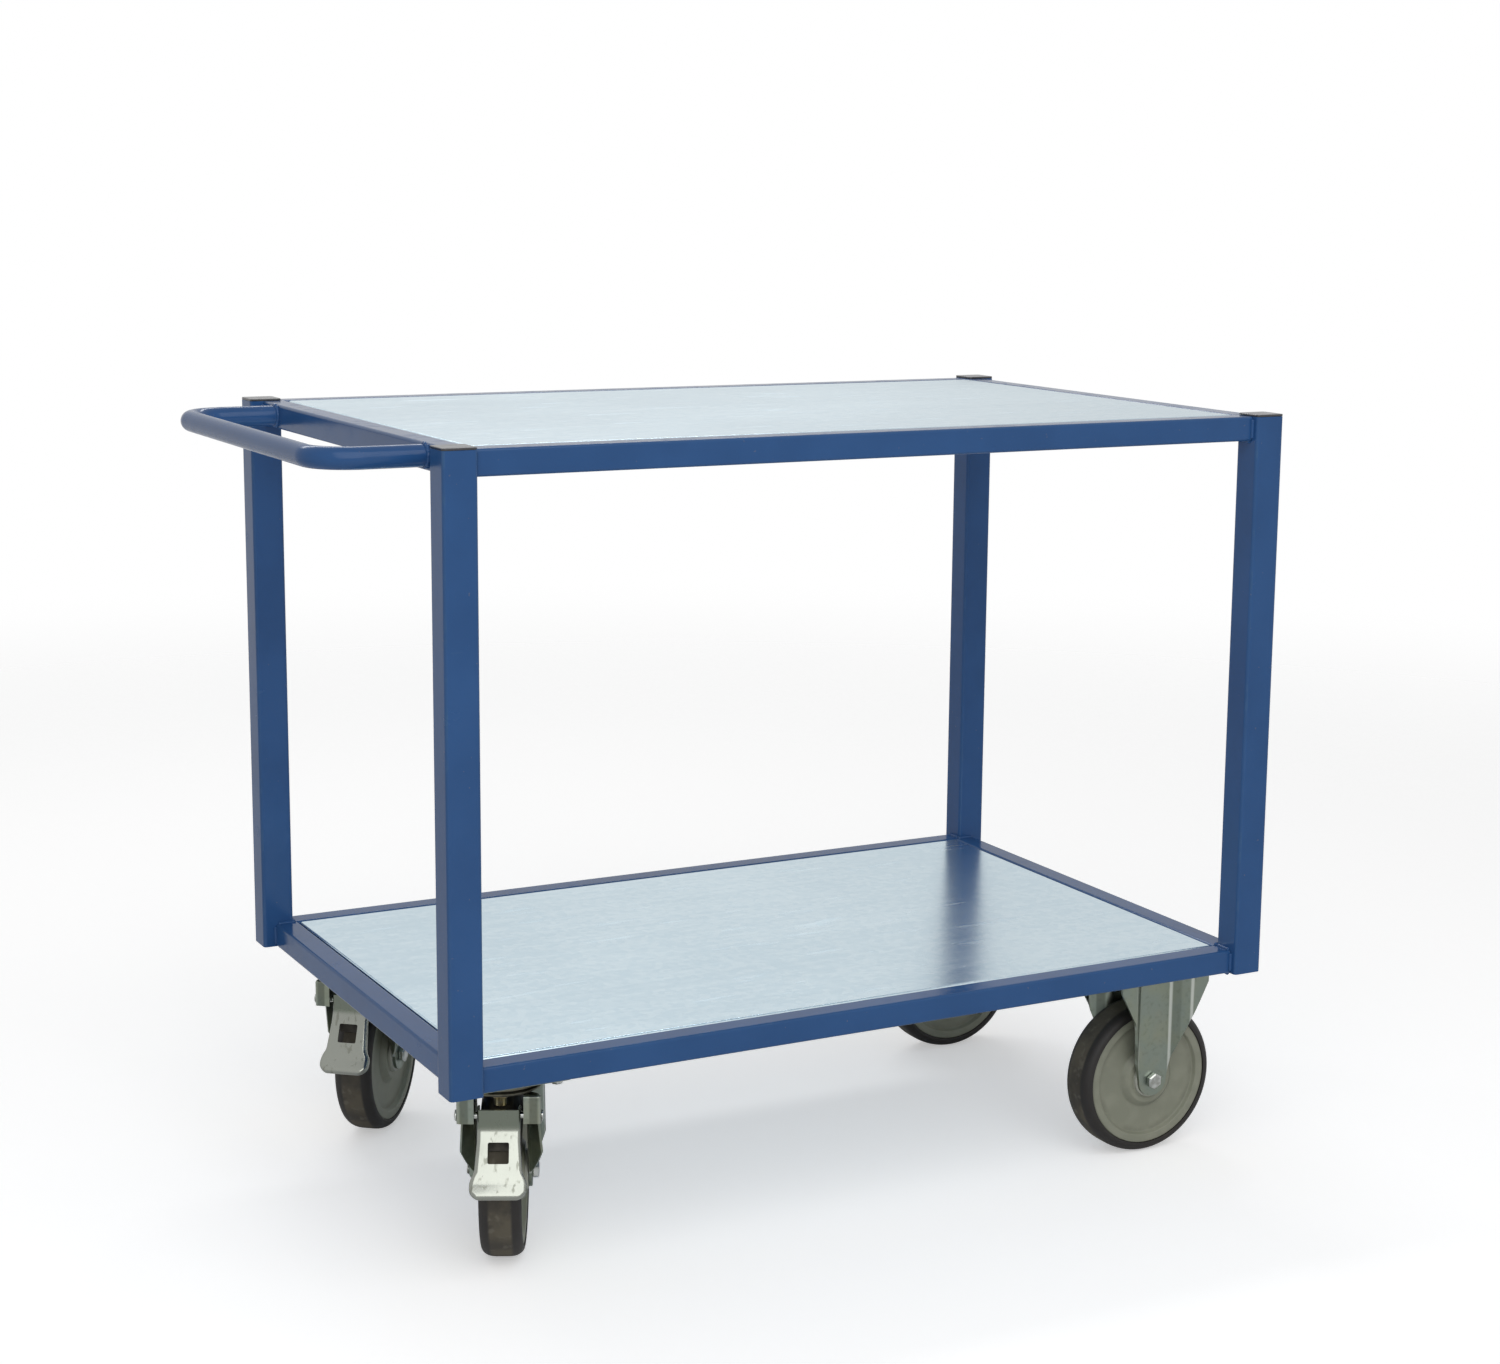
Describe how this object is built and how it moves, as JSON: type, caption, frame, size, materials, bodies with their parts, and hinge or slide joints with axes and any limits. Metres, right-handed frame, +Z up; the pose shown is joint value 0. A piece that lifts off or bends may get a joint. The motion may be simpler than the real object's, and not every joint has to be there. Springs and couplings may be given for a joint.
{
  "type": "workshop trolley",
  "caption": "Welded blue square-tube trolley with two flush zinc-coated shelves, a bent-tube push handle, braked swivel castors behind and fixed castors in front.",
  "frame": {"origin": "on the floor, under the middle of the box round the whole trolley as it stands", "axes": "+X along the length, away from the push handle; +Y across, to the left of the person pushing; +Z up"},
  "size_m": [1.2144, 0.7208, 0.9643],
  "materials": {
    "blue_paint": "glossy blue powder coat",
    "cap_plastic": "moulded black plastic",
    "sheet_zinc": "zinc-coated sheet, satin",
    "castor_zinc": "zinc-plated pressed steel",
    "bolt_zinc": "yellow zinc plating",
    "rim_plastic": "moulded grey polypropylene",
    "tyre_rubber": "dark solid rubber"
  },
  "bodies": {
    "frame": {"post_front_left": "blue_paint", "post_front_right": "blue_paint", "post_rear_left": "blue_paint", "post_rear_right": "blue_paint", "upper_side_rail_left": "blue_paint", "upper_side_rail_right": "blue_paint", "lower_side_rail_left": "blue_paint", "lower_side_rail_right": "blue_paint", "upper_end_rail_front": "blue_paint", "upper_end_rail_rear": "blue_paint", "lower_end_rail_front": "blue_paint", "lower_end_rail_rear": "blue_paint", "push_handle": "blue_paint", "lower_crossbar": "blue_paint", "upper_crossbar_front": "blue_paint", "upper_crossbar_rear": "blue_paint", "castor_beam_front": "blue_paint", "castor_beam_rear": "blue_paint", "post_cap_front_left": "cap_plastic", "post_cap_front_right": "cap_plastic", "post_cap_rear_left": "cap_plastic", "post_cap_rear_right": "cap_plastic", "upper_shelf_sheet": "sheet_zinc", "lower_shelf_sheet": "sheet_zinc", "swivel_plate_left": "castor_zinc", "ball_race_left": "castor_zinc", "swivel_plate_right": "castor_zinc", "ball_race_right": "castor_zinc", "king_bolt_left": "bolt_zinc", "king_bolt_right": "bolt_zinc", "fixed_fork_left": "castor_zinc", "fixed_left_axle_bolt": "castor_zinc", "fixed_left_axle_nut": "castor_zinc", "fixed_left_hub_bush": "castor_zinc", "fixed_fork_right": "castor_zinc", "fixed_right_axle_bolt": "castor_zinc", "fixed_right_axle_nut": "castor_zinc", "fixed_right_hub_bush": "castor_zinc"},
    "fixed_wheel_left": {"fixed_left_wheel_rim": "rim_plastic", "fixed_left_wheel_tyre": "tyre_rubber"},
    "fixed_wheel_right": {"fixed_right_wheel_rim": "rim_plastic", "fixed_right_wheel_tyre": "tyre_rubber"},
    "swivel_left": {"swivel_fork_left": "castor_zinc", "swivel_left_axle_bolt": "castor_zinc", "swivel_left_axle_nut": "castor_zinc", "swivel_left_hub_bush": "castor_zinc", "brake_pin_left": "castor_zinc"},
    "swivel_wheel_left": {"swivel_left_wheel_rim": "rim_plastic", "swivel_left_wheel_tyre": "tyre_rubber"},
    "brake_left": {"brake_pedal_left": "castor_zinc", "brake_shoe_left": "castor_zinc"},
    "swivel_right": {"swivel_fork_right": "castor_zinc", "swivel_right_axle_bolt": "castor_zinc", "swivel_right_axle_nut": "castor_zinc", "swivel_right_hub_bush": "castor_zinc", "brake_pin_right": "castor_zinc"},
    "swivel_wheel_right": {"swivel_right_wheel_rim": "rim_plastic", "swivel_right_wheel_tyre": "tyre_rubber"},
    "brake_right": {"brake_pedal_right": "castor_zinc", "brake_shoe_right": "castor_zinc"}
  },
  "joints": [
    {"name": "fixed_wheel_left_spin", "type": "hinge", "parent": "frame", "child": "fixed_wheel_left", "pos_m": [0.50324, 0.22761, 0.1], "axis": [0, 1, 0], "continuous": true},
    {"name": "fixed_wheel_right_spin", "type": "hinge", "parent": "frame", "child": "fixed_wheel_right", "pos_m": [0.50324, -0.24839, 0.1], "axis": [0, 1, 0], "continuous": true},
    {"name": "castor_left_swivel", "type": "hinge", "parent": "frame", "child": "swivel_left", "pos_m": [-0.38876, 0.22761, 0.23], "axis": [0, 0, 1], "continuous": true},
    {"name": "swivel_wheel_left_spin", "type": "hinge", "parent": "swivel_left", "child": "swivel_wheel_left", "pos_m": [-0.35194, 0.27243, 0.1], "axis": [0.7727, -0.6347, 0], "continuous": true},
    {"name": "brake_left_lift", "type": "hinge", "parent": "swivel_left", "child": "brake_left", "pos_m": [-0.40653, 0.20597, 0.197], "axis": [-0.7727, 0.6347, 0], "range_deg": [0, 25]},
    {"name": "castor_right_swivel", "type": "hinge", "parent": "frame", "child": "swivel_right", "pos_m": [-0.38876, -0.24839, 0.23], "axis": [0, 0, 1], "continuous": true},
    {"name": "swivel_wheel_right_spin", "type": "hinge", "parent": "swivel_right", "child": "swivel_wheel_right", "pos_m": [-0.36342, -0.19621, 0.1], "axis": [0.8996, -0.4368, 0], "continuous": true},
    {"name": "brake_right_lift", "type": "hinge", "parent": "swivel_right", "child": "brake_right", "pos_m": [-0.40099, -0.27358, 0.197], "axis": [-0.8996, 0.4368, 0], "range_deg": [0, 25]}
  ]
}
